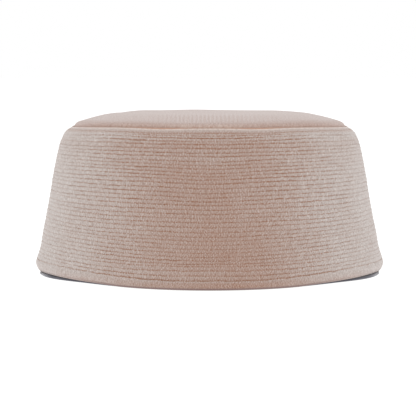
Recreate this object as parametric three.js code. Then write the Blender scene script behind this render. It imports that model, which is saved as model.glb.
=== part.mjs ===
// A velvet kufi: a stiff, flared, round hat without a brim.
// Millimetres, +Z up. The front faces -Y, and the long axis of the oval runs along Y.
// The origin is the middle of the oval rim, on the plane that the rim rests on.
//
// Every piece is an oval shell of revolution. A section is drawn at the front of the hat, as half a
// width and a height, and carried round the oval, which is a little flatter across its corners than
// an ellipse. The rim, the rows of stitching and the seam aren't level: the hem is a little higher at
// the sides than at the front and back, and the seam a little lower, so each height has a lift that
// changes round the hat.
import * as THREE from 'three';

// ---- driving dimensions ----
const SEGMENTS = 64; // facets round the hat
const OVAL = 1.042; // length, front to back, over width, side to side
const FLAT = 0.04; // share by which the plan is pulled in across its corners
const HEM_HEIGHT = 0.3; // the velvet hem's clearance over the resting plane, at front and back
const HEM_HALF = 93.3; // half width at the hem's lowest edge
const WALL_T = 2.6; // velvet, stiffening and backing, stitched through
const CROWN_T = 2.2; // velvet and backing
const BAND_T = 1.2; // the dark cloth inside the rim
const BAND_HEM_T = 2.3; // the same cloth folded double at its lower edge
const BAND_HEIGHT = 30; // how far the dark band runs up inside the wall
const GAP = 0.3; // clearance between pieces
const SEAM_DROP = 2.2; // depth of the crown's turned-down edge

// The wall's outside, from the hem up over the shoulder to the fold at the seam.
// height: at the front. half: half the hat's width at that section.
const WALL = [
  { height: 0.7, half: 94.1 },
  { height: 1.5, half: 94.97 },
  { height: 2.5, half: 95.45 },
  { height: 3.5, half: 95.52 },
  { height: 4.4, half: 95.1 },
  { height: 5.4, half: 94.62 },
  { height: 8.0, half: 93.83 },
  { height: 12.0, half: 92.79 },
  { height: 20.0, half: 91.52 },
  { height: 30.0, half: 89.55 },
  { height: 43.0, half: 87.23 },
  { height: 55.0, half: 85.34 },
  { height: 64.0, half: 83.62 },
  { height: 70.0, half: 82.28 },
  { height: 74.0, half: 81.0 },
  { height: 76.6, half: 79.86 },
  { height: 78.4, half: 78.75 },
  { height: 79.7, half: 77.63 },
  { height: 80.6, half: 76.24 },
  { height: 81.3, half: 75.45 },
];
const WALL_TOP = { height: 81.6, half: 75.2 }; // crest of the fold at the seam
const FOLD_INNER = 74.55; // inner face of the fold, which the crown's edge goes down behind

// The crown's upper face, from its edge to the middle. half and height as above.
const CROWN = [
  { half: 74.15, height: 81.7 },
  { half: 73.6, height: 82.65 },
  { half: 72.2, height: 83.8 },
  { half: 70.0, height: 84.42 },
  { half: 66.1, height: 85.42 },
  { half: 61.6, height: 86.37 },
  { half: 56.5, height: 87.2 },
  { half: 50.0, height: 87.7 },
  { half: 42.0, height: 87.72 },
  { half: 30.0, height: 87.6 },
  { half: 15.0, height: 87.3 },
  { half: 0.0, height: 87.15 },
];

// How far the hem lifts off the resting plane.
// angle: in degrees, from the front or back towards a side.
const HEM = [
  { angle: 0, lift: 0 },
  { angle: 20, lift: 0 },
  { angle: 30, lift: 0.1 },
  { angle: 37, lift: 0.6 },
  { angle: 43, lift: 0.9 },
  { angle: 50, lift: 1.15 },
  { angle: 56, lift: 1.33 },
  { angle: 60, lift: 1.42 },
  { angle: 67, lift: 1.56 },
  { angle: 74, lift: 1.53 },
  { angle: 79, lift: 1.25 },
  { angle: 84, lift: 0.6 },
  { angle: 90, lift: 0.4 },
];

// How far the heights above the hem lift.
// side: at the sides. corner: a further lift across the corners. middle: at the front and back middle.
const RISE = [
  { height: 5, side: 3.55, corner: 0, middle: 0.7 },
  { height: 12, side: 2.9, corner: 0, middle: 0.1 },
  { height: 24, side: 1.85, corner: -0.1, middle: -0.7 },
  { height: 36, side: 0.85, corner: -0.7, middle: -0.6 },
  { height: 48, side: 0.5, corner: -0.25, middle: -1.05 },
  { height: 60, side: 0.25, corner: 0.05, middle: -1.0 },
  { height: 72, side: -0.1, corner: 0.15, middle: -0.15 },
  { height: 81.6, side: -1.4, corner: 0.35, middle: 0.15 },
];
const MIDDLE_WIDTH = 13; // degrees over which the lift at the middle fades

// The lower edge of the dark band rolls out from under the hem at the sides.
// out: inwards from the roll's outermost line. share: of the roll's height.
const ROLL = [
  { out: 0.95, share: 0 },
  { out: 0.3, share: 0.18 },
  { out: 0.0, share: 0.5 },
  { out: 0.12, share: 0.8 },
  { out: 0.55, share: 1 },
];
const ROLL_HALF = 93.7; // half width over the roll at the sides
const ROLL_FROM = 48; // degrees from the front or back where the roll starts to come out
const ROLL_TO = 68; // degrees where it is all the way out
const ROLL_LOW = 0.75; // height of the roll where it stays inside

// ---- shape functions ----
function along(table, key, column, at) {
  const rows = [...table].sort((a, b) => a[key] - b[key]);
  if (at <= rows[0][key]) return rows[0][column];
  for (let i = 1; i < rows.length; i++) {
    if (at <= rows[i][key]) {
      const t = (at - rows[i - 1][key]) / (rows[i][key] - rows[i - 1][key]);
      return rows[i - 1][column] + t * (rows[i][column] - rows[i - 1][column]);
    }
  }
  return rows[rows.length - 1][column];
}

// degrees from the nearer of front and back: 0 there, 90 at the sides
const turned = (angle) =>
  THREE.MathUtils.radToDeg(Math.atan2(Math.abs(Math.sin(angle)), Math.abs(Math.cos(angle))));

const upperLift = (height, angle) =>
  along(RISE, 'height', 'side', height) * Math.sin(angle) ** 2 +
  along(RISE, 'height', 'corner', height) * Math.sin(2 * angle) ** 2 +
  along(RISE, 'height', 'middle', height) * Math.exp(-((turned(angle) / MIDDLE_WIDTH) ** 2));

// under the lowest row of the table the lift blends into the hem's own
const risen = (height, angle) => {
  const t = THREE.MathUtils.clamp((height - HEM_HEIGHT) / (RISE[0].height - HEM_HEIGHT), 0, 1);
  const hem = along(HEM, 'angle', 'lift', turned(angle));
  return height + (1 - t) * hem + t * upperLift(Math.max(height, RISE[0].height), angle);
};

// the seam's lift fades out towards the middle of the top
const crownRisen = (half, height, angle) =>
  height + (half / WALL_TOP.half) ** 3 * upperLift(WALL_TOP.height, angle);

const plan = (angle) => 1 - FLAT * Math.sin(2 * angle) ** 2;

const SECTION = [{ height: HEM_HEIGHT, half: HEM_HALF }, ...WALL];
const wallInner = (height) => along(SECTION, 'height', 'half', height) - WALL_T;

// Revolves a closed or axis-to-axis outline and lets place() set each vertex from its row and angle.
function revolve(outline, place) {
  const points = outline.map((p) => new THREE.Vector2(p.half, p.height));
  const geometry = new THREE.LatheGeometry(points, SEGMENTS);
  geometry.deleteAttribute('normal');
  geometry.deleteAttribute('uv');
  const position = geometry.attributes.position;
  for (let i = 0; i < position.count; i++) {
    const row = i % outline.length;
    const step = Math.floor(i / outline.length) % SEGMENTS;
    const angle = (step / SEGMENTS) * 2 * Math.PI;
    const { half, height } = place(outline[row], angle, row);
    const reach = half * plan(angle);
    position.setXYZ(i, reach * Math.sin(angle), -OVAL * reach * Math.cos(angle), height);
  }
  geometry.computeVertexNormals();
  return geometry;
}

const closed = (outline) => [...outline, outline[0]];

// ---- side band: the flared, quilted velvet wall ----
function sideBand() {
  const inside = [
    { half: FOLD_INNER + 0.2, height: WALL_TOP.height - 0.15 },
    { half: FOLD_INNER, height: WALL_TOP.height - 0.6 },
    { half: FOLD_INNER, height: 79.3 },
    { half: 75.5, height: 77.9 },
    ...[76.2, 70, 55, 43, BAND_HEIGHT, 20, 12, 8, 5.4, 3.5, 1.5].map((height) => ({
      half: wallInner(height),
      height,
    })),
    { half: wallInner(0.6), height: 0.6 },
  ];
  const outline = closed([
    { half: wallInner(HEM_HEIGHT) + 0.6, height: HEM_HEIGHT },
    { half: HEM_HALF, height: HEM_HEIGHT + 0.05 },
    ...WALL,
    WALL_TOP,
    ...inside,
  ]);
  return revolve(outline, (p, angle) => ({
    half: p.half,
    height: risen(p.height, angle),
  }));
}

// ---- crown top: the shallow domed panel with its edge turned down inside the fold ----
function crownTop() {
  const skirt = FOLD_INNER - GAP;
  const low = WALL_TOP.height - SEAM_DROP;
  const under = CROWN.filter((p, i) => i > 2 && i % 2).map((p) => ({
    half: Math.min(p.half, skirt - CROWN_T - 1.2),
    height: p.height - CROWN_T,
  }));
  const outline = [
    { half: 0, height: CROWN[CROWN.length - 1].height - CROWN_T },
    ...under.filter((p) => p.half > 0).reverse(),
    { half: skirt - CROWN_T, height: 81.1 },
    { half: skirt - CROWN_T, height: low },
    { half: skirt, height: low },
    { half: skirt, height: WALL_TOP.height - 0.9 },
    ...CROWN,
  ];
  return revolve(outline, (p, angle) => ({
    half: p.half,
    height: crownRisen(p.half, p.height, angle),
  }));
}

// ---- inner band: the dark cloth inside the rim, flat underneath, which the hat rests on ----
function innerBand() {
  const stay = wallInner(HEM_HEIGHT) - GAP;
  const up = [3.5, 5.4, 8, 12, BAND_HEIGHT];
  const outline = closed([
    { half: stay - BAND_HEM_T, height: 0 },
    ...ROLL.map((p) => ({ half: ROLL_HALF - p.out, height: p.share, roll: p })),
    { half: stay, height: 1.3, above: true },
    ...up.map((height) => ({ half: wallInner(height) - GAP, height })),
    ...[...up].reverse().map((height) => ({
      half: wallInner(height) - GAP - (height < 8 ? BAND_HEM_T : BAND_T),
      height,
    })),
  ]);
  return revolve(outline, (p, angle) => {
    const out = THREE.MathUtils.smoothstep(turned(angle), ROLL_FROM, ROLL_TO);
    const rollHeight = Math.max(ROLL_LOW * (1 - out), risen(HEM_HEIGHT, angle) - GAP - 0.05);
    if (p.roll) {
      const edge = stay + (ROLL_HALF - stay) * out;
      return {
        half: Math.max(edge - p.roll.out, p.roll.share === 1 ? stay - 0.1 : 0),
        height: rollHeight * p.roll.share,
      };
    }
    if (p.above) return { half: stay, height: rollHeight + 0.06 };
    if (p.height === 0) return { half: p.half, height: 0 };
    return { half: p.half, height: risen(p.height, angle) };
  });
}

// ---- the hat ----
const velvet = (color) =>
  new THREE.MeshStandardMaterial({ color, roughness: 0.95, metalness: 0 });

function piece(name, geometry, material) {
  const mesh = new THREE.Mesh(geometry, material);
  mesh.name = name;
  return mesh;
}

const kufi = new THREE.Group();
kufi.name = 'kufi';
kufi.add(
  piece('side_band', sideBand(), velvet(0xb09888)),
  piece('crown_top', crownTop(), velvet(0xc4b4ac)),
  piece('inner_band', innerBand(), velvet(0x4a4a50)),
);

export default kufi;
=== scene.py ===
"""A velvet kufi on a pale floor: the finish of its wall, crown and inner band, around the fixed frame."""

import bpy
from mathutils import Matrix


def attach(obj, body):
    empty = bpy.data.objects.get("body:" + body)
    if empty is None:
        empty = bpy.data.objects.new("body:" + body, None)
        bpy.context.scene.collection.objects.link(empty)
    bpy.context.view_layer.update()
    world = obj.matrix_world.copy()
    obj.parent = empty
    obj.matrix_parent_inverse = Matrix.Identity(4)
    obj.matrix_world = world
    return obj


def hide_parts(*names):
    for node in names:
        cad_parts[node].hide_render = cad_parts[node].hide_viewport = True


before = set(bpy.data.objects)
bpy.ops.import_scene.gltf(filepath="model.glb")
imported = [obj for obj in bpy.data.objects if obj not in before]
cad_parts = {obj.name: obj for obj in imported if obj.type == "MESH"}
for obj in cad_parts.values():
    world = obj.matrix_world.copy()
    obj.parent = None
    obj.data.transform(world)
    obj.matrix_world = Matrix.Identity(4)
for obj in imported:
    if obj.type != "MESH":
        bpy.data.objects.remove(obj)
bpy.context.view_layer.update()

import math

import bpy
import numpy as np

MM = 0.001
TURN = 2 * math.pi

# ---------------------------------------------------------------- camera
# The photo's frame is 416 x 416. The hat's axis is 1.0986 m away, and the horizon is 148 px over the middle.
CAM_AWAY = 1.0986
CAM_UP = 0.11585
CAM_SIDE = -0.00087
CAM_PITCH = 4.2118
CAM_LENS = 173.08

cam_data = bpy.data.cameras.new("camera")
cam_data.sensor_width = 36.0
cam_data.lens = CAM_LENS
cam_data.clip_start = 0.01
cam_data.clip_end = 100.0
cam = bpy.data.objects.new("camera", cam_data)
cam.location = (CAM_SIDE, -CAM_AWAY, CAM_UP)
cam.rotation_euler = (math.radians(90 - CAM_PITCH), 0, 0)
bpy.context.scene.collection.objects.link(cam)
bpy.context.scene.camera = cam
bpy.context.scene.view_settings.view_transform = "Standard"
bpy.context.scene.view_settings.look = "None"

# ---------------------------------------------------------------- sizes, in millimetres, as in the construction
OVAL = 1.042
FLAT = 0.04
HEM_HEIGHT = 0.3
HEM_HALF = 93.3
WALL_T = 2.6
CROWN_T = 2.2
BAND_T = 1.2
BAND_HEM_T = 2.3
BAND_HEIGHT = 30.0
GAP = 0.3
FOLD_INNER = 74.55
SEAM_DROP = 2.2

# the wall's outside: height at the front, half the width there
WALL = np.array(
    [
        (0.7, 94.1),
        (1.5, 94.97),
        (2.5, 95.45),
        (3.5, 95.52),
        (4.4, 95.1),
        (5.4, 94.62),
        (8.0, 93.83),
        (12.0, 92.79),
        (20.0, 91.52),
        (30.0, 89.55),
        (43.0, 87.23),
        (55.0, 85.34),
        (64.0, 83.62),
        (70.0, 82.28),
        (74.0, 81.0),
        (76.6, 79.86),
        (78.4, 78.75),
        (79.7, 77.63),
        (80.6, 76.24),
        (81.3, 75.45),
    ]
)
WALL_TOP = (81.6, 75.2)
# the crown's upper face: half width, height
CROWN = np.array(
    [
        (0.0, 87.15),
        (15.0, 87.3),
        (30.0, 87.6),
        (42.0, 87.72),
        (50.0, 87.7),
        (56.5, 87.2),
        (61.6, 86.37),
        (66.1, 85.42),
        (70.0, 84.42),
        (72.2, 83.8),
        (73.6, 82.65),
        (74.15, 81.7),
    ]
)
# the hem: degrees from the front or back, lift off the resting plane
HEM = np.array(
    [(0, 0), (20, 0), (30, 0.1), (37, 0.6), (43, 0.9), (50, 1.15), (56, 1.33), (60, 1.42)]
    + [(67, 1.56), (74, 1.53), (79, 1.25), (84, 0.6), (90, 0.4)]
)
# height, lift at the sides, further lift across the corners, lift at the front and back middle
RISE = np.array(
    [
        (5, 3.55, 0, 0.7),
        (12, 2.9, 0, 0.1),
        (24, 1.85, -0.1, -0.7),
        (36, 0.85, -0.7, -0.6),
        (48, 0.5, -0.25, -1.05),
        (60, 0.25, 0.05, -1.0),
        (72, -0.1, 0.15, -0.15),
        (81.6, -1.4, 0.35, 0.15),
    ]
)
MIDDLE_WIDTH = 13
ROLL_HALF = 93.7
ROLL_FROM, ROLL_TO, ROLL_LOW = 48, 68, 0.75

# the rows of machine stitching, from the top down: height at the front, its own lift at the sides and
# across the corners, how tight it is, how much tighter it is at the middle than halfway to the corners,
# and the degrees from the front or back at which it ends
ROWS = np.array(
    [
        (78.60, 1.19, 0.18, 0.85, 0.0, 200),
        (77.50, 0.60, 0.50, 0.7, 0.0, 32),
        (76.35, 0.06, 0.84, 1.1, 0.5, 200),
        (74.75, 0.20, 0.62, 0.95, -0.6, 200),
        (73.35, 0.00, 0.19, 1.0, 0.0, 200),
        (71.48, -0.61, 0.00, 1.1, 0.0, 200),
        (69.31, 0.00, 0.00, 1.1, 0.0, 200),
        (67.70, 0.00, -0.19, 1.1, 0.0, 200),
        (65.31, 0.32, -0.13, 1.05, 0.0, 200),
        (63.50, 0.30, 0.00, 0.85, 0.0, 200),
        (61.80, 0.00, 0.00, 1.0, 0.0, 200),
        (59.73, 0.22, 0.40, 1.0, 0.0, 200),
        (58.16, -0.38, 0.34, 1.0, 0.0, 200),
        (56.48, -1.03, 0.34, 1.1, 0.0, 200),
        (54.51, -0.71, 0.00, 1.2, 0.0, 200),
        (52.16, 0.00, -0.31, 1.1, 0.0, 200),
        (49.75, 0.00, 0.14, 1.15, 0.0, 200),
        (47.59, 0.00, 0.11, 1.0, 0.0, 200),
        (45.50, -0.37, 0.30, 1.15, 0.0, 200),
        (43.53, 0.40, -0.21, 1.2, 0.0, 200),
        (41.22, -0.32, 0.09, 1.05, 0.0, 200),
        (39.00, 0.00, -0.19, 1.0, 0.0, 200),
        (36.78, 0.20, 0.00, 0.9, 0.0, 200),
        (34.71, 0.00, -0.20, 1.0, 0.0, 200),
        (32.31, 0.00, 0.00, 1.0, 0.0, 200),
        (29.78, 0.00, -0.11, 0.9, 0.0, 200),
        (27.53, 0.43, -0.27, 0.9, 0.0, 200),
        (25.52, 0.00, 0.00, 0.85, 0.0, 200),
        (23.45, 1.35, -0.19, 0.85, 0.0, 200),
        (21.28, 1.34, -0.17, 0.9, 0.0, 200),
        (19.32, 0.79, -0.15, 0.9, 0.0, 200),
        (17.19, 1.02, -0.11, 0.9, 0.0, 200),
        (15.25, 0.00, 0.37, 1.05, 0.0, 200),
        (13.55, 0.12, -0.37, 0.9, 0.0, 200),
        (12.24, -0.94, -0.37, 0.75, 0.0, 200),
        (9.93, -0.89, -0.43, 0.95, 0.0, 200),
        (7.20, 0.00, 0.00, 0.95, 0.0, 200),
        (4.82, -0.09, 0.64, 1.3, 0.0, 200),
    ]
)

# the look of the quilting
COLUMNS = 344  # columns of the wall's mesh
GROOVE = 0.26  # how deep a row of stitching pulls the velvet in
STITCH = 1.85  # length of a stitch
THREAD_R = 0.14
PROUD = 0.16  # how far the ridges between the rows stand out
WAVE = 0.08  # how far a row wanders up and down
CROWN_PAINTED_SHADE = 0.1  # how much painted shade makes the crown less pale beside the seam
HEM_PAINTED_SHADE = 0.95  # how dark the painted shade on the underside of the hem is
LINE = 0.26  # half the width of the line that a row's stitches press into the pile


# ---------------------------------------------------------------- shape functions
def smooth(x, y):
    """A smooth curve through the points that never overshoots them."""
    x, y = np.asarray(x, float), np.asarray(y, float)
    h, d = np.diff(x), np.diff(y) / np.diff(x)
    m = np.zeros_like(y)
    m[0], m[-1] = d[0], d[-1]
    same = d[:-1] * d[1:] > 0
    w1, w2 = 2 * h[1:] + h[:-1], h[1:] + 2 * h[:-1]
    with np.errstate(divide="ignore", invalid="ignore"):
        mid = (w1 + w2) / (w1 / d[:-1] + w2 / d[1:])
    m[1:-1] = np.where(same, mid, 0.0)

    def at(q):
        q = np.clip(np.asarray(q, float), x[0], x[-1])
        i = np.clip(np.searchsorted(x, q, side="right") - 1, 0, len(x) - 2)
        t = (q - x[i]) / h[i]
        return (
            (2 * t**3 - 3 * t**2 + 1) * y[i]
            + (t**3 - 2 * t**2 + t) * h[i] * m[i]
            + (3 * t**2 - 2 * t**3) * y[i + 1]
            + (t**3 - t**2) * h[i] * m[i + 1]
        )

    return at


def spline(points, steps):
    """Points along a Catmull-Rom curve through the given ones, steps to each span."""
    p = np.array(points, float)
    p = np.vstack([2 * p[0] - p[1], p, 2 * p[-1] - p[-2]])
    out = []
    for i in range(1, len(p) - 2):
        a, b, c, d = p[i - 1 : i + 3]
        for k in range(steps):
            t = k / steps
            out.append(
                0.5
                * (
                    2 * b
                    + (c - a) * t
                    + (2 * a - 5 * b + 4 * c - d) * t**2
                    + (3 * b - a - 3 * c + d) * t**3
                )
            )
    out.append(p[-2])
    return np.array(out)


wall_half = smooth(
    np.concatenate([[HEM_HEIGHT], WALL[:, 0], WALL_TOP[:1]]),
    np.concatenate([[HEM_HALF], WALL[:, 1], WALL_TOP[1:]]),
)
crown_height = smooth(CROWN[:, 0], CROWN[:, 1])
hem_lift = smooth(HEM[:, 0], HEM[:, 1])


def wall_inner(u):
    return wall_half(u) - WALL_T


def turned(a):
    """Degrees from the nearer of front and back: 0 there, 90 at the sides."""
    return np.degrees(np.arctan2(np.abs(np.sin(a)), np.abs(np.cos(a))))


def plan(a):
    return 1 - FLAT * np.sin(2 * a) ** 2


def upper_lift(u, a):
    side, corner, middle = (np.interp(u, RISE[:, 0], RISE[:, k]) for k in (1, 2, 3))
    return (
        side * np.sin(a) ** 2
        + corner * np.sin(2 * a) ** 2
        + middle * np.exp(-((turned(a) / MIDDLE_WIDTH) ** 2))
    )


def risen(u, a):
    t = np.clip((u - HEM_HEIGHT) / (RISE[0, 0] - HEM_HEIGHT), 0, 1)
    return u + (1 - t) * hem_lift(turned(a)) + t * upper_lift(np.maximum(u, RISE[0, 0]), a)


def crown_risen(half, height, a):
    return height + (half / WALL_TOP[1]) ** 3 * upper_lift(WALL_TOP[0], a)


def smoothstep(x, lo, hi):
    t = np.clip((x - lo) / (hi - lo), 0, 1)
    return t * t * (3 - 2 * t)


def wander(seed, cycles, a):
    """A gentle wave round the hat, of about unit size, made of whole numbers of cycles."""
    r = np.random.default_rng(seed)
    out = np.zeros_like(a)
    for k in cycles:
        out = out + r.normal() * np.sin(k * a + r.uniform(0, TURN))
    return out / math.sqrt(len(cycles) / 2)


def place(half, height, a):
    """Points in metres. a is 0 at the front and grows towards +X."""
    reach = half * plan(a)
    return np.stack(
        np.broadcast_arrays(
            reach * np.sin(a) * MM, -OVAL * reach * np.cos(a) * MM, height * MM
        ),
        axis=-1,
    )


def make_mesh(name, points, faces, attributes=None):
    """A smooth-shaded object from points and faces, the faces an array of quads or a list of such arrays."""
    mesh = bpy.data.meshes.new(name)
    groups = faces if isinstance(faces, list) else [faces]
    loops = np.concatenate([g.reshape(-1) for g in groups]).astype(np.int32)
    counts = np.concatenate([np.full(len(g), g.shape[1], np.int32) for g in groups])
    starts = np.concatenate([[0], np.cumsum(counts)[:-1]]).astype(np.int32)
    mesh.vertices.add(len(points))
    mesh.vertices.foreach_set("co", np.asarray(points, np.float32).reshape(-1))
    mesh.loops.add(len(loops))
    mesh.loops.foreach_set("vertex_index", loops)
    mesh.polygons.add(len(counts))
    mesh.polygons.foreach_set("loop_start", starts)
    mesh.polygons.foreach_set("loop_total", counts)
    mesh.polygons.foreach_set("use_smooth", np.ones(len(counts), bool))
    mesh.update(calc_edges=True)
    mesh.validate()
    for key, values in (attributes or {}).items():
        layer = mesh.attributes.new(key, "FLOAT", "POINT")
        layer.data.foreach_set("value", np.asarray(values, np.float32).reshape(-1))
    obj = bpy.data.objects.new(name, mesh)
    bpy.context.scene.collection.objects.link(obj)
    return obj


def ring_quads(rows, columns, closed_rows, base=0):
    """Quads of a grid that is closed round the hat, and along its section too where closed_rows."""
    r = np.arange(rows if closed_rows else rows - 1)
    c = np.arange(columns)
    rr, cc = np.meshgrid(r, c, indexing="ij")
    up, on = (rr + 1) % rows, (cc + 1) % columns
    quads = np.stack(
        [rr * columns + cc, rr * columns + on, up * columns + on, up * columns + cc],
        axis=-1,
    )
    return quads.reshape(-1, 4) + base


# ---------------------------------------------------------------- the quilted wall
def row_height(i, a):
    """The height of stitch row i round the hat, before the lift that all heights have."""
    here = ROWS[i, 0] + ROWS[i, 1] * np.sin(a) ** 2 + ROWS[i, 2] * np.sin(2 * a) ** 2
    if i == 0:
        here = here - 0.42 * np.exp(-(((turned(a) - 19) / 9) ** 2))
    free = min(1.0, (ROWS[i - 1, 0] - ROWS[i, 0]) / 2.0) if i else 0.6
    return here + WAVE * free * wander(100 + i, (9, 14, 21, 27, 38, 55, 71, 90), a)


def row_tight(i, a):
    """How tight stitch row i is round the hat, about 1."""
    t = turned(a)
    tight = ROWS[i, 3] * (1 + ROWS[i, 4] * np.cos(np.radians(6 * t)))
    tight = tight * (1 + 0.16 * wander(700 + i, (5, 8, 13, 19, 26, 33), a))
    if i == len(ROWS) - 1:
        tight = tight * (1 - 0.45 * smoothstep(t, 45, 72))
    return np.clip(tight, 0.15, 1.8) * (1 - smoothstep(t, ROWS[i, 5] - 8, ROWS[i, 5] + 8))


def dents(u, a):
    """Slow unevenness of the stiff wall."""
    r = np.random.default_rng(7)
    out = 0.0
    for k in (3, 4, 5, 7, 9, 12):
        out = out + r.normal() * np.sin(k * a + r.uniform(0, TURN)) * np.sin(
            u / 80 * math.pi * r.uniform(1.0, 3.5) + r.uniform(0, TURN)
        )
    return 0.1 * out * smoothstep(u, 2, 14) * (1 - smoothstep(u, 74, 80))


def tuck(u, a):
    """How much further in the hem's lowest part sits at the sides."""
    return 0.45 * smoothstep(turned(a), 72, 84) * (1 - smoothstep(u, 1.0, 3.6))


def wall_point(u, depth, a):
    """A point on the wall's outside at front height u, moved out by depth along the section's normal."""
    slope = (wall_half(u + 0.05) - wall_half(u - 0.05)) / 0.1
    size = np.sqrt(1 + slope**2)
    move = depth + dents(u, a)
    return place(wall_half(u) - tuck(u, a) + move / size, risen(u, a) - move * slope / size, a)


# height, change in paleness; the drops at the hem's turn-under and next to the seam are painted shade
TONE_AND_PAINTED_SHADE = np.array(
    [(0.8, -0.36), (1.6, -0.24), (2.8, -0.06), (4.8, 0.02), (62.0, 0.0), (67.0, 0.02)]
    + [(73.0, -0.05), (75.5, 0.03), (77.2, 0.06), (78.2, 0.0), (79.2, -0.2), (80.3, -0.22), (81.05, -0.05)]
    + [(81.35, -0.35), (81.6, -0.45)]
)


# slow patches, paler or less pale: degrees from the front, height, reach in degrees, reach
# in height, change in paleness
PATCHES = (
    (15, 10, 16, 24, -0.085),
    (-13, 14, 9, 14, -0.03),
    (-57, 22, 6, 18, -0.055),
    (58, 22, 6, 18, -0.045),
    (0, 69, 28, 6, 0.085),
    (-8, 9, 9, 6, 0.035),
    (0, 7, 10, 5, 0.03),
    (-44, 28, 12, 22, -0.03),
)


def wall_tone_and_painted_shade(u, a):
    """How much more or less pale the pile is: painted shade makes it less pale where it turns under at the hem and
    next to the seam; it changes in patches too.
    """
    out = np.interp(u, TONE_AND_PAINTED_SHADE[:, 0], TONE_AND_PAINTED_SHADE[:, 1])
    out = out * (1 - 0.8 * smoothstep(turned(a), 45, 70) * (np.asarray(u) < 4.0))
    out = out - 0.045 * smoothstep(turned(a), 4, 14) * smoothstep(u, 58, 66) * (1 - smoothstep(u, 79, 80))
    side = np.degrees(np.arctan2(np.sin(a), np.cos(a)))
    for at, height, wide, high, change in PATCHES:
        out = out + change * np.exp(-(((side - at) / wide) ** 2) - ((u - height) / high) ** 2)
    return out


def seam_share(a):
    """How strongly the seam's line shows round the hat."""
    return 0.85 - 0.4 * smoothstep(turned(a), 25, 48)


def make_wall():
    a = np.arange(COLUMNS) / COLUMNS * TURN
    rows, groove, outside, tone, painted_shade, painted_highlight, seam = [], [], [], [], [], [], []

    # light puts a painted highlight and dark a painted shade into the velvet's colour
    def add(half, height, out=1.0, light=0.0, dark=0.0, line=0.0):
        rows.append(place(half - tuck(height, a) * (half > 93), risen(height, a), a))
        groove.append(np.zeros(COLUMNS))
        seam.append(np.broadcast_to(line, a.shape).copy())
        outside.append(np.full(COLUMNS, out))
        tone.append(wall_tone_and_painted_shade(np.full(COLUMNS, height), a))
        painted_shade.append(dark * (1 - 0.65 * smoothstep(turned(a), 32, 52)))
        painted_highlight.append(np.broadcast_to(light, a.shape).copy())

    def add_u(u, depth, mark):
        u = np.broadcast_to(u, a.shape)
        rows.append(wall_point(u, depth + PROUD * smoothstep(u, 4.8, 6) * (1 - smoothstep(u, 77, 80)), a))
        groove.append(np.broadcast_to(mark, a.shape).copy())
        outside.append(np.ones(COLUMNS))
        tone.append(wall_tone_and_painted_shade(u, a))
        # painted shade on the hem's underside
        painted_shade.append(HEM_PAINTED_SHADE * (1 - smoothstep(u, 1.0, 1.8)) * (1 - 0.65 * smoothstep(turned(a), 32, 52)))
        painted_highlight.append(np.zeros(COLUMNS))
        seam.append(np.zeros(COLUMNS))

    # under the hem and up its outer roll
    low = spline(
        [
            (wall_inner(1.5), 1.5),
            (91.28, 0.62),
            (91.6, 0.34),
            (92.6, 0.30),
            (93.35, 0.38),
            (94.05, 0.72),
        ],
        3,
    )
    for k, (half, height) in enumerate(low):
        # painted shade on the hem's underside
        add(half, height, float(k > 3), 0.0, HEM_PAINTED_SHADE * (1 - smoothstep(height, 1.0, 1.8)))
    last = len(ROWS) - 1
    hem_row, hem_tight = row_height(last, a), row_tight(last, a)
    for u in (1.1, 1.6, 2.2, 2.9, 3.5, 4.0, 4.4):
        here = u + (hem_row - ROWS[last, 0]) * smoothstep(u, 1.0, 4.7)
        near = hem_row - here
        add_u(
            here,
            -GROOVE * 0.8 * hem_tight * np.exp(-((near / 0.5) ** 2)),
            hem_tight * np.exp(-((near / LINE) ** 2)),
        )
    # the rows of stitching, from the lowest up
    shares = (0.0, 0.11, 0.28, 0.5, 0.72, 0.89)
    for i in range(last, 0, -1):
        below, above = row_height(i, a), row_height(i - 1, a)
        tight_below, tight_above = row_tight(i, a), row_tight(i - 1, a)
        pitch = above - below
        lump = wander(300 + i, (60, 75, 90, 110, 130), a)
        for t in shares:
            puff = 1 - abs(2 * t - 1) ** 2.3
            tight = tight_below * (1 - t) + tight_above * t
            near, own = (t * pitch, tight_below) if t < 0.5 else ((1 - t) * pitch, tight_above)
            full = GROOVE * np.clip(pitch / 2.1, 0.5, 1.15) * tight
            add_u(
                below + t * pitch,
                -full * (1 - puff) + 0.05 * puff * lump,
                own * np.exp(-((near / LINE) ** 2)),
            )
    top, tight = row_height(0, a), row_tight(0, a)
    for share, depth in ((0.0, 1.0), (0.15, 0.6), (0.35, 0.22), (0.6, 0.05), (0.82, 0.0)):
        here = top * (1 - share) + 80.15 * share
        add_u(here, -GROOVE * 0.7 * depth * tight, tight * np.exp(-(((here - top) / LINE) ** 2)))
    # over the fold and down its inner face
    fold = spline(
        [
            (float(wall_half(80.15)), 80.15),
            (76.24, 80.6),
            (75.75, 81.05),
            (75.4, 81.38),
            (75.08, 81.55),
            (74.75, 81.4),
            (FOLD_INNER, 81.0),
            (FOLD_INNER, 79.3),
            (75.5, 77.9),
        ],
        3,
    )
    low = np.exp(-(((turned(a) - 20) / 10) ** 2))
    for k, (half, height) in enumerate(fold):
        middle = 80.9 - 0.32 * low + 0.15 * smoothstep(turned(a), 32, 45)
        # a painted highlight along the crest of the fold
        light = np.exp(-(((height - middle) / 0.27) ** 2)) * (k < 12)
        line = 0.78 * seam_share(a) * smoothstep(-half + 0.68 * low, -75.55, -75.1)
        add(half, height, float(k < 16), light, 0.0, line)
    for u in (76.2, 70, 64, 55, 43, 30, 20, 12, 8, 5.4, 3.5):
        add(wall_inner(u), u, 0.0)
    points = np.stack(rows)
    obj = make_mesh(
        "wall_velvet",
        points.reshape(-1, 3),
        ring_quads(len(rows), COLUMNS, True),
        {
            "groove": np.stack(groove),
            "outside": np.stack(outside),
            "tone": np.stack(tone),
            "painted_shade": np.stack(painted_shade),
            "painted_highlight": np.stack(painted_highlight),
            "seam": np.stack(seam),
        },
    )
    return obj


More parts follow.
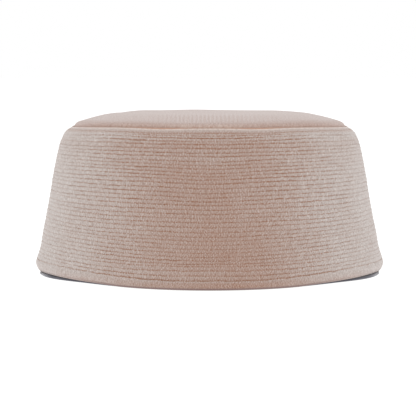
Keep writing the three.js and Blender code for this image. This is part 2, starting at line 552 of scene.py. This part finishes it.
def make_threads(name, wanted):
    """The visible top thread of some rows: one long thread a row, which dips into the velvet at each needle hole."""
    sides = 4
    points, faces, base = [], [], 0
    for i in wanted:
        half = float(wall_half(ROWS[i, 0]))
        around = math.pi * half * (1 + OVAL) * 0.98
        n = round(around / STITCH)
        rng = np.random.default_rng(500 + i)
        start = rng.uniform(0, 1)
        marks = (np.arange(n) + start + rng.normal(0, 0.06, n)) / n * TURN
        spans = np.diff(np.append(marks, marks[0] + TURN))
        share = np.array([0.0, 0.2, 0.5, 0.8])
        lift = np.array([-0.32, 0.0, 0.07, 0.0])
        a = (marks[:, None] + spans[:, None] * share[None, :]).reshape(-1)
        up = np.tile(lift, n)
        sunk = -GROOVE * np.minimum(row_tight(i, a), 1.2) + 0.06
        sunk = sunk - 0.5 * (row_tight(i, a) < 0.1)
        centre = wall_point(row_height(i, a), sunk + up, a)
        ahead = wall_point(row_height(i, a + 1e-4), sunk, a + 1e-4)
        here = wall_point(row_height(i, a), sunk, a)
        over = wall_point(row_height(i, a), sunk + 1.0, a)
        t = ahead - here
        t /= np.linalg.norm(t, axis=1, keepdims=True)
        nrm = over - here
        nrm /= np.linalg.norm(nrm, axis=1, keepdims=True)
        b = np.cross(t, nrm)
        for k in range(sides):
            w = TURN * k / sides
            points.append(centre + THREAD_R * MM * (math.cos(w) * nrm + math.sin(w) * b))
        m = len(a)
        c = np.arange(m)
        for k in range(sides):
            k2 = (k + 1) % sides
            faces.append(
                np.stack(
                    [
                        base + k * m + c,
                        base + k2 * m + c,
                        base + k2 * m + (c + 1) % m,
                        base + k * m + (c + 1) % m,
                    ],
                    axis=1,
                )
            )
        base += sides * m
    return make_mesh(name, np.concatenate(points), np.concatenate(faces))


# ---------------------------------------------------------------- the crown
# where the top stands a little proud: x, y, height and radius
LUMPS = (
    (-42, 34, 0.5, 13),
    (46, 40, 0.4, 12),
    (52, 18, 0.25, 9),
    (-65, 8, -0.3, 10),
    (-36, -48, 0.2, 12),
    (34, -50, 0.15, 11),
)


def crown_waves(x, y):
    """Slow undulation of the top panel, and its faint radial gathers near the seam, in millimetres."""
    r = np.random.default_rng(21)
    out = np.zeros_like(x)
    for _ in range(9):
        k = TURN / r.uniform(26, 60)
        way = r.uniform(0, TURN)
        out = out + r.normal() * np.sin(k * (x * math.cos(way) + y * math.sin(way)) + r.uniform(0, TURN))
    a = np.arctan2(x, -y / OVAL)
    half = np.hypot(x, y / OVAL) / plan(a)
    gather = np.zeros_like(x)
    for k in (61, 83, 97, 131, 149):
        gather = gather + r.normal() * np.sin(k * a + r.uniform(0, TURN))
    for at_x, at_y, high, wide in LUMPS:
        out = out + high / 0.075 * np.exp(-((x - at_x) ** 2 + (y - at_y) ** 2) / wide**2)
    near = smoothstep(half, 52, 73)
    rib = np.sin(TURN * x / 2.2 + 1.3 * np.sin(x / 9)) * np.exp(-((x / 24) ** 2)) * smoothstep(-y, 48, 66)
    rib = rib * (1 - smoothstep(half, 72.5, 74))
    return 0.075 * out * (1 - smoothstep(half, 68, 73.5)) + 0.03 * gather * near + 0.05 * rib


def disc(n):
    """A square grid of n by n quads bent to the unit disc: its radii, angles, quads and rim, anticlockwise."""
    line = np.linspace(-1, 1, n + 1)
    u, v = np.meshgrid(line, line, indexing="xy")
    with np.errstate(divide="ignore", invalid="ignore"):
        wide = np.abs(u) >= np.abs(v)
        r = np.where(wide, u, v)
        phi = np.where(
            wide,
            (math.pi / 4) * np.where(u == 0, 0, v / np.where(u == 0, 1, u)),
            (math.pi / 2) - (math.pi / 4) * np.where(v == 0, 0, u / np.where(v == 0, 1, v)),
        )
    x, y = r * np.cos(phi), r * np.sin(phi)
    i = np.arange((n + 1) * (n + 1)).reshape(n + 1, n + 1)
    quads = np.stack([i[:-1, :-1], i[:-1, 1:], i[1:, 1:], i[1:, :-1]], axis=-1).reshape(-1, 4)
    rim = np.concatenate([i[0, :-1], i[:-1, -1], i[-1, :0:-1], i[:0:-1, 0]])
    return x.reshape(-1), y.reshape(-1), quads, rim


def make_crown():
    edge = 71.0
    skirt = FOLD_INNER - 0.03
    fine, coarse = 200, 100
    # the upper face
    x, y, quads, rim = disc(fine)
    half = np.hypot(x, y) * edge
    a = np.arctan2(x, -y)
    px, py = half * plan(a) * np.sin(a), -OVAL * half * plan(a) * np.cos(a)
    height = crown_risen(half, crown_height(half), a) + crown_waves(px, py)
    top = np.stack([px, py, height], axis=1)
    # the edge, rolling down into the seam
    ring = a[rim]
    roll = spline(
        [
            (70.0, float(crown_height(70.0))),
            (71.0, float(crown_height(71.0))),
            (72.2, 83.75),
            (73.2, 83.1),
            (73.9, 82.2),
            (74.3, 81.3),
            (skirt, 80.6),
            (skirt, 79.9),
            (skirt - 0.15, WALL_TOP[0] - SEAM_DROP),
            (skirt - 1.1, WALL_TOP[0] - SEAM_DROP - 0.12),
            (skirt - CROWN_T + 0.1, WALL_TOP[0] - SEAM_DROP + 0.1),
            (skirt - CROWN_T, 80.6),
            (skirt - CROWN_T - 0.25, 81.2),
        ],
        3,
    )[4:]
    strips = []
    for h, z in roll:
        x0, y0 = h * plan(ring) * np.sin(ring), -OVAL * h * plan(ring) * np.cos(ring)
        wave = crown_waves(x0, y0) * (z > 80.6)
        strips.append(np.stack([x0, y0, crown_risen(h, z, ring) + wave], axis=1))
    strips = np.stack(strips)
    # the under face
    ux, uy, under_quads, under_rim = disc(coarse)
    under_half = np.hypot(ux, uy) * 70.8
    ua = np.arctan2(ux, -uy)
    under = np.stack(
        [
            under_half * plan(ua) * np.sin(ua),
            -OVAL * under_half * plan(ua) * np.cos(ua),
            crown_risen(under_half, crown_height(under_half) - CROWN_T, ua),
        ],
        axis=1,
    )
    n_top, m = len(top), len(rim)
    base = n_top
    points = np.concatenate([top, strips.reshape(-1, 3), under]) * MM
    c = np.arange(m)
    on = (c + 1) % m
    sides = [np.stack([rim[c], base + c, base + on, rim[on]], axis=1)]
    for k in range(len(roll) - 1):
        lo, hi = base + k * m, base + (k + 1) * m
        sides.append(np.stack([lo + c, hi + c, hi + on, lo + on], axis=1))
    last, u0 = base + (len(roll) - 1) * m, n_top + len(roll) * m
    half_m = m // 2
    k = np.arange(half_m)
    k2 = (k + 1) % half_m
    fa, fb, fc = last + 2 * k, last + 2 * k + 1, last + (2 * k + 2) % m
    ca, cb = u0 + under_rim[k], u0 + under_rim[k2]
    tris = np.concatenate(
        [
            np.stack([fa, ca, fb], axis=1),
            np.stack([fb, ca, cb], axis=1),
            np.stack([fb, cb, fc], axis=1),
        ]
    )
    outside = np.concatenate(
        [np.ones(n_top), np.repeat((np.arange(len(roll)) < 22).astype(float), m), np.zeros(len(under))]
    )
    # the seam line, where the stitches pull the edge of the top down, and a painted highlight on the roll above it
    near_front = 0.08 + 0.17 * (1 - smoothstep(turned(ring), 38, 50))
    near_front = near_front + 0.3 * (1 - smoothstep(turned(ring), 6, 24))
    light = ((1 - smoothstep(roll[:, 1], 82.7, 83.7))[:, None] * near_front[None, :]).reshape(-1)
    light = np.concatenate([np.zeros(n_top), light, np.zeros(len(under))])
    lower = 0.6 * np.exp(-(((turned(ring) - 21) / 9) ** 2))
    depth = 0.42 - 0.42 * smoothstep(roll[:, 1][:, None] + lower[None, :], 81.7, 82.4)
    depth = (depth * seam_share(ring)[None, :]).reshape(-1)
    depth = np.concatenate([np.zeros(n_top), depth, np.zeros(len(under))])
    # painted shade: less pale and warmer where the top rolls down to the seam
    top_painted_shade = -CROWN_PAINTED_SHADE * smoothstep(half, 66.5, 71.0) * (1 + 1.4 * smoothstep(turned(a), 10, 40))
    roll_painted_shade = -CROWN_PAINTED_SHADE * smoothstep(roll[:, 0], 66.5, 71.0)[:, None]
    roll_painted_shade = (roll_painted_shade * (1 + 1.4 * smoothstep(turned(ring), 10, 40))[None, :]).reshape(-1)
    tone = np.concatenate([top_painted_shade, roll_painted_shade, np.zeros(len(under))])
    all_quads = np.concatenate([quads, np.concatenate(sides), under_quads[:, ::-1] + u0])
    streak = np.sin(TURN * px / 2.2 + 1.3 * np.sin(px / 9)) * np.exp(-((px / 30) ** 2)) * smoothstep(-py, 30, 60)
    tone[:n_top] += 0.13 * streak
    return make_mesh(
        "crown_velvet",
        points,
        [all_quads, tris],
        {
            "outside": outside,
            "groove": np.zeros(len(points)),
            "seam": depth,
            "tone": tone,
            "painted_shade": np.zeros(len(points)),
            "painted_highlight": light,
        },
    )


# ---------------------------------------------------------------- the dark band inside the rim
def make_band():
    cols = 360
    a = np.arange(cols) / cols * TURN
    stay = HEM_HALF - WALL_T - GAP
    out = smoothstep(turned(a), ROLL_FROM, ROLL_TO)
    high = np.maximum(ROLL_LOW * (1 - out), risen(np.full_like(a, HEM_HEIGHT), a) - GAP - 0.05)
    edge = stay + (ROLL_HALF - stay) * out
    edge = edge + 0.3 * np.exp(-(((turned(a) - 76) / 7) ** 2)) - 0.45 * smoothstep(turned(a), 79, 87)
    edge = edge + 0.4 * np.exp(-(((turned(a) - 71.5) / 4) ** 2))
    edge = edge + 0.06 * wander(41, (11, 17, 25, 34), a) * out
    lift = 0.11 * np.exp(-(((turned(a) - 42) / 9) ** 2))
    rows = []
    for half in (stay - BAND_HEM_T, stay - 1.6):
        rows.append(place(np.full_like(a, half), lift, a))
    for k in range(15):
        turn = -math.pi / 2 + math.pi * k / 14
        back = 1 - abs(math.cos(turn)) ** 0.8
        reach = 0.7
        half = edge - reach * back
        if k == 14:
            half = np.maximum(half, stay - 0.1)
        rows.append(place(half, lift + (high - lift) * (0.5 + 0.5 * math.sin(turn)), a))
    rows.append(place(np.full_like(a, stay), high + 0.06, a))
    ups = (3.5, 5.4, 8, 12, 16, 20, 25, 29.4)
    for u in ups:
        rows.append(place(np.full_like(a, float(wall_inner(u)) - GAP), risen(np.full_like(a, u), a), a))
    for u, inset in ((30.0, 0.3), (30.15, 0.6), (30.0, 0.95)):
        rows.append(
            place(np.full_like(a, float(wall_inner(u)) - GAP - inset), risen(np.full_like(a, u), a), a)
        )
    for u in ups[::-1]:
        thick = BAND_T + (BAND_HEM_T - BAND_T) * (1 - float(smoothstep(np.array(u), 7.0, 7.6)))
        rows.append(
            place(np.full_like(a, float(wall_inner(u)) - GAP - thick), risen(np.full_like(a, u), a), a)
        )
    points = np.stack(rows)
    # painted sheen: the band is paler where it rolls out towards the sides
    pale = 0.65 * smoothstep(turned(a), 66, 76) + 0.35 * smoothstep(turned(a), 79, 86)
    pale = np.tile(pale, len(rows))
    return make_mesh("dark_band", points.reshape(-1, 3), ring_quads(len(rows), cols, True), {"painted_sheen": pale})


# ---------------------------------------------------------------- materials
def rgb(r, g, b):
    """sRGB 0-255 to linear."""
    out = []
    for v in (r, g, b):
        v /= 255
        out.append(v / 12.92 if v <= 0.04045 else ((v + 0.055) / 1.055) ** 2.4)
    return (*out, 1.0)


class Nodes:
    """Short names for making a node material."""

    def __init__(self, name):
        self.mat = bpy.data.materials.new(name)
        self.mat.use_nodes = True
        self.tree = self.mat.node_tree
        self.bsdf = self.tree.nodes["Principled BSDF"]

    def new(self, kind, **sockets):
        node = self.tree.nodes.new(kind)
        for key, value in sockets.items():
            self.put(node.inputs[key.replace("_", " ")], value)
        return node

    def put(self, socket, value):
        if isinstance(value, bpy.types.NodeSocket):
            self.tree.links.new(value, socket)
        else:
            socket.default_value = value

    def math(self, op, a, b=None, clamp=False):
        node = self.tree.nodes.new("ShaderNodeMath")
        node.operation, node.use_clamp = op, clamp
        self.put(node.inputs[0], a)
        if b is not None:
            self.put(node.inputs[1], b)
        return node.outputs[0]

    def mix(self, share, a, b, how="MIX"):
        node = self.tree.nodes.new("ShaderNodeMix")
        node.data_type, node.blend_type = "RGBA", how
        self.put(node.inputs[0], share)
        self.put(node.inputs[6], a)
        self.put(node.inputs[7], b)
        return node.outputs[2]

    def scale(self, colour, factor):
        node = self.tree.nodes.new("ShaderNodeVectorMath")
        node.operation = "SCALE"
        self.put(node.inputs[0], colour)
        self.put(node.inputs["Scale"], factor)
        return node.outputs[0]

    def noise(self, where, scale, detail=2.0, rough=0.5):
        node = self.tree.nodes.new("ShaderNodeTexNoise")
        self.put(node.inputs["Vector"], where)
        node.inputs["Scale"].default_value = scale
        node.inputs["Detail"].default_value = detail
        node.inputs["Roughness"].default_value = rough
        return node.outputs["Fac"]

    def ramp(self, value, lo, hi, out_lo=0.0, out_hi=1.0):
        node = self.tree.nodes.new("ShaderNodeMapRange")
        node.clamp = True
        self.put(node.inputs["Value"], value)
        for key, v in (("From Min", lo), ("From Max", hi), ("To Min", out_lo), ("To Max", out_hi)):
            node.inputs[key].default_value = v
        return node.outputs["Result"]

    def stops(self, value, pairs):
        """A curve of straight lines through the pairs of place and value."""
        node = self.tree.nodes.new("ShaderNodeValToRGB")
        line = node.color_ramp
        line.interpolation = "LINEAR"
        while len(line.elements) < len(pairs):
            line.elements.new(0.5)
        for element, (at, out) in zip(line.elements, pairs):
            element.position = at
            element.color = (out, out, out, 1)
        self.put(node.inputs["Fac"], value)
        return node.outputs["Color"]

    def attribute(self, name):
        node = self.tree.nodes.new("ShaderNodeAttribute")
        node.attribute_name = name
        return node.outputs["Fac"]

    def place(self, scale=(1, 1, 1), offset=(0, 0, 0)):
        coords = self.tree.nodes.new("ShaderNodeTexCoord")
        mapping = self.tree.nodes.new("ShaderNodeMapping")
        mapping.inputs["Scale"].default_value = scale
        mapping.inputs["Location"].default_value = offset
        self.tree.links.new(coords.outputs["Object"], mapping.inputs["Vector"])
        return mapping.outputs["Vector"]

    def bump(self, height, strength, distance, normal=None):
        node = self.tree.nodes.new("ShaderNodeBump")
        node.inputs["Strength"].default_value = strength
        node.inputs["Distance"].default_value = distance
        self.put(node.inputs["Height"], height)
        if normal is not None:
            self.put(node.inputs["Normal"], normal)
        return node.outputs["Normal"]


def velvet(name, facing_stops, groove_colour, pale_colour):
    """Short cut pile: warm when seen down the pile, paler across it, and the reverse of the cloth inside.

    facing_stops are the paleness, from 0 to 1, by how far the cloth turns away from the eye."""
    n = Nodes(name)
    where = n.place()
    turn = n.tree.nodes.new("ShaderNodeLayerWeight")
    turn.inputs["Blend"].default_value = 0.5
    pale = n.stops(turn.outputs["Facing"], facing_stops)
    fleck = n.noise(where, 1600, 1.0, 0.5)
    grain = n.math(
        "SUBTRACT", n.noise(where, 1300, 0.0), n.noise(n.place(offset=(0.00045, 0.0, 0.0)), 1300, 0.0)
    )
    tuft = n.noise(where, 2400, 1.0, 0.5)
    nap = n.noise(n.place((1, 1, 0.45)), 430, 2.0, 0.6)
    patch = n.noise(n.place((1, 1, 0.6)), 85, 3.0, 0.55)
    pale = n.math("ADD", pale, n.math("MULTIPLY", grain, GRAIN))
    for value, reach in ((fleck, FLECK), (nap, NAP), (patch, PATCH)):
        pale = n.math("ADD", pale, n.math("MULTIPLY", n.math("SUBTRACT", value, 0.5), reach))
    # the tone attribute carries painted shade at the hem and beside the seam, and slow patches
    pale = n.math("ADD", pale, n.attribute("tone"), clamp=True)
    colour = n.mix(pale, DEEP, pale_colour)
    colour = n.scale(colour, n.math("ADD", n.math("MULTIPLY", grain, BRIGHT), 1.0))
    spot = n.ramp(n.noise(where, 620, 1.0, 0.5), 0.35, 0.62, 0.4, 1.0)
    dash = n.math("ADD", spot, n.math("MULTIPLY", grain, -DASH))
    share = n.math("MULTIPLY", n.attribute("groove"), n.math("MULTIPLY", dash, GROOVE_SHARE), clamp=True)
    share = n.math("MULTIPLY", share, n.stops(turn.outputs["Facing"], LINE_STOPS))
    colour = n.mix(share, colour, groove_colour)
    colour = n.mix(n.attribute("seam"), colour, rgb(172, 114, 78))
    # painted highlight on the fold's crest and on the crown's roll above the seam
    colour = n.mix(n.math("MULTIPLY", n.attribute("painted_highlight"), spot), colour, (0.63, 0.53, 0.47, 1.0))
    # painted shade on the underside of the hem
    colour = n.mix(n.attribute("painted_shade"), colour, rgb(90, 44, 30))
    # the reverse, which shows only from underneath
    back_weave = n.ramp(n.noise(n.place((1, 1, 1)), 1500, 2.0, 0.5), 0.3, 0.7)
    back = n.mix(back_weave, rgb(70, 70, 76), rgb(92, 91, 97))
    colour = n.mix(n.attribute("outside"), back, colour)
    n.put(n.bsdf.inputs["Base Color"], colour)
    n.bsdf.inputs["Roughness"].default_value = 0.9
    n.bsdf.inputs["Specular IOR Level"].default_value = 0.1
    n.bsdf.inputs["Sheen Weight"].default_value = SHEEN[0]
    n.bsdf.inputs["Sheen Roughness"].default_value = SHEEN[1]
    n.bsdf.inputs["Sheen Tint"].default_value = SHEEN[2]
    normal = n.bump(tuft, 0.3, 0.0001)
    normal = n.bump(fleck, 0.35, 0.0002, normal)
    n.put(n.bsdf.inputs["Normal"], normal)
    return n.mat


def thread(name):
    """Twisted sewing thread in a tone of the velvet."""
    n = Nodes(name)
    twist = n.noise(n.place((1, 1, 1)), 3200, 1.0, 0.4)
    tone = n.noise(n.place(), 130, 2.0, 0.5)
    colour = n.mix(n.ramp(tone, 0.3, 0.7), rgb(158, 120, 98), rgb(178, 140, 118))
    colour = n.mix(n.ramp(twist, 0.4, 0.7, 0.0, 0.4), colour, rgb(132, 102, 88))
    n.put(n.bsdf.inputs["Base Color"], colour)
    n.bsdf.inputs["Roughness"].default_value = 0.6
    n.bsdf.inputs["Specular IOR Level"].default_value = 0.25
    n.bsdf.inputs["Sheen Weight"].default_value = 0.9
    n.bsdf.inputs["Sheen Roughness"].default_value = 0.4
    n.put(n.bsdf.inputs["Normal"], n.bump(twist, 0.4, 0.0001))
    return n.mat


def dark_cloth(name):
    """Blue-grey woven cloth, finely ribbed, with a soft sheen."""
    n = Nodes(name)
    coords = n.tree.nodes.new("ShaderNodeTexCoord")
    split = n.tree.nodes.new("ShaderNodeSeparateXYZ")
    n.tree.links.new(coords.outputs["Object"], split.inputs[0])
    x, y, z = split.outputs
    around = n.math("MULTIPLY", n.math("ARCTAN2", x, y), 0.092 / 0.00042 * TURN)
    warp = n.math("SINE", around)
    weft = n.math("SINE", n.math("MULTIPLY", z, TURN / 0.00045))
    weave = n.math("MULTIPLY", warp, weft)
    weave = n.math("MULTIPLY_ADD", weave, 0.5)
    slub = n.noise(n.place((1, 1, 6)), 160, 3.0, 0.6)
    colour = n.mix(n.ramp(slub, 0.3, 0.7), rgb(88, 88, 98), rgb(114, 113, 122))
    colour = n.mix(n.ramp(weave, -0.5, 0.5, 0.0, 0.35), colour, rgb(60, 58, 64))
    # painted sheen, paler where the band rolls out at the sides
    colour = n.mix(n.math("MULTIPLY", n.attribute("painted_sheen"), 0.8), colour, rgb(178, 178, 183))
    n.put(n.bsdf.inputs["Base Color"], colour)
    n.bsdf.inputs["Roughness"].default_value = 0.7
    n.bsdf.inputs["Specular IOR Level"].default_value = 0.3
    n.bsdf.inputs["Sheen Weight"].default_value = 0.4
    n.bsdf.inputs["Sheen Roughness"].default_value = 0.35
    n.put(n.bsdf.inputs["Normal"], n.bump(weave, 0.35, 0.00012))
    return n.mat


SHEEN = (0.4, 0.7, (1.0, 0.98, 0.97, 1.0))
DEEP = (0.262, 0.096, 0.036, 1.0)
GRAIN, FLECK, NAP, PATCH = 0.34, 0.29, 0.17, 0.1  # how strongly the grain of each size varies the paleness
BRIGHT = 0.5  # how strongly the finest grain varies the brightness
GROOVE_SHARE = 1.1
DASH = 1.5  # how broken the lines of stitching are
# how much of the lines the pile leaves open, by how far the cloth turns away from the eye
LINE_STOPS = ((0.0, 0.84), (0.05, 0.86), (0.12, 1.0), (0.25, 1.0), (0.75, 0.12), (1.0, 0.12))
quilted = velvet(
    "quilted_velvet",
    (
        *((0.0, 0.333), (0.026, 0.375), (0.086, 0.425), (0.134, 0.447), (0.19, 0.5), (0.293, 0.595)),
        *((0.37, 0.668), (0.44, 0.705), (0.577, 0.71), (0.75, 0.71), (1.0, 0.71)),
    ),
    rgb(134, 83, 46),
    (0.516, 0.495, 0.477, 1.0),
)
plain = velvet(
    "plain_velvet",
    ((0.0, 0.43), (0.3, 0.56), (0.77, 0.72), (0.9, 0.78), (1.0, 0.78)),
    rgb(158, 112, 88),
    (0.516, 0.443, 0.421, 1.0),
)
sewing = thread("sewing_thread")
dark = dark_cloth("dark_cloth")

# ---------------------------------------------------------------- the pieces
wall = make_wall()
wall.data.materials.append(quilted)
crown = make_crown()
crown.data.materials.append(plain)
band = make_band()
band.data.materials.append(dark)
threads = []
for name, wanted in (
    ("stitches_upper", range(0, 13)),
    ("stitches_middle", range(13, 26)),
    ("stitches_lower", range(26, 38)),
):
    piece = make_threads(name, wanted)
    piece.data.materials.append(sewing)
    threads.append(piece)

for piece in (wall, crown, band, *threads):
    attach(piece, "root")
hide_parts("side_band")
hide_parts("crown_top")
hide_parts("inner_band")

# ---------------------------------------------------------------- floor and light
floor_mesh = bpy.data.meshes.new("floor")
reach = 12.0
floor_mesh.from_pydata(
    [(-reach, -3.0, -0.0001), (reach, -3.0, -0.0001), (reach, reach, -0.0001), (-reach, reach, -0.0001)],
    [],
    [(0, 1, 2, 3)],
)
floor = bpy.data.objects.new("floor", floor_mesh)
bpy.context.scene.collection.objects.link(floor)
fm = Nodes("floor_paint")
fm.bsdf.inputs["Base Color"].default_value = (0.18, 0.18, 0.18, 1)
fm.bsdf.inputs["Roughness"].default_value = 1.0
fm.bsdf.inputs["Specular IOR Level"].default_value = 0.0
fm.bsdf.inputs["Emission Color"].default_value = (1, 1, 1, 1)
fm.bsdf.inputs["Emission Strength"].default_value = 1.0
floor_mesh.materials.append(fm.mat)

world = bpy.data.worlds.new("studio")
world.use_nodes = True
world.node_tree.nodes["Background"].inputs[0].default_value = (1, 1, 1, 1)
world.node_tree.nodes["Background"].inputs[1].default_value = 1.0
bpy.context.scene.world = world


def area(name, at, target, size, watts):
    data = bpy.data.lights.new(name, "AREA")
    data.shape, data.size, data.energy = "DISK", size, watts
    obj = bpy.data.objects.new(name, data)
    obj.location = at
    way = np.array(target) - np.array(at)
    way = way / np.linalg.norm(way)
    obj.rotation_euler = (
        math.acos(-way[2]),
        0.0,
        math.atan2(way[1], way[0]) - math.pi / 2,
    )
    bpy.context.scene.collection.objects.link(obj)
    return obj


area("overhead", (0.0, -0.5, 1.6), (0, 0, 0.05), 1.4, 2.0)
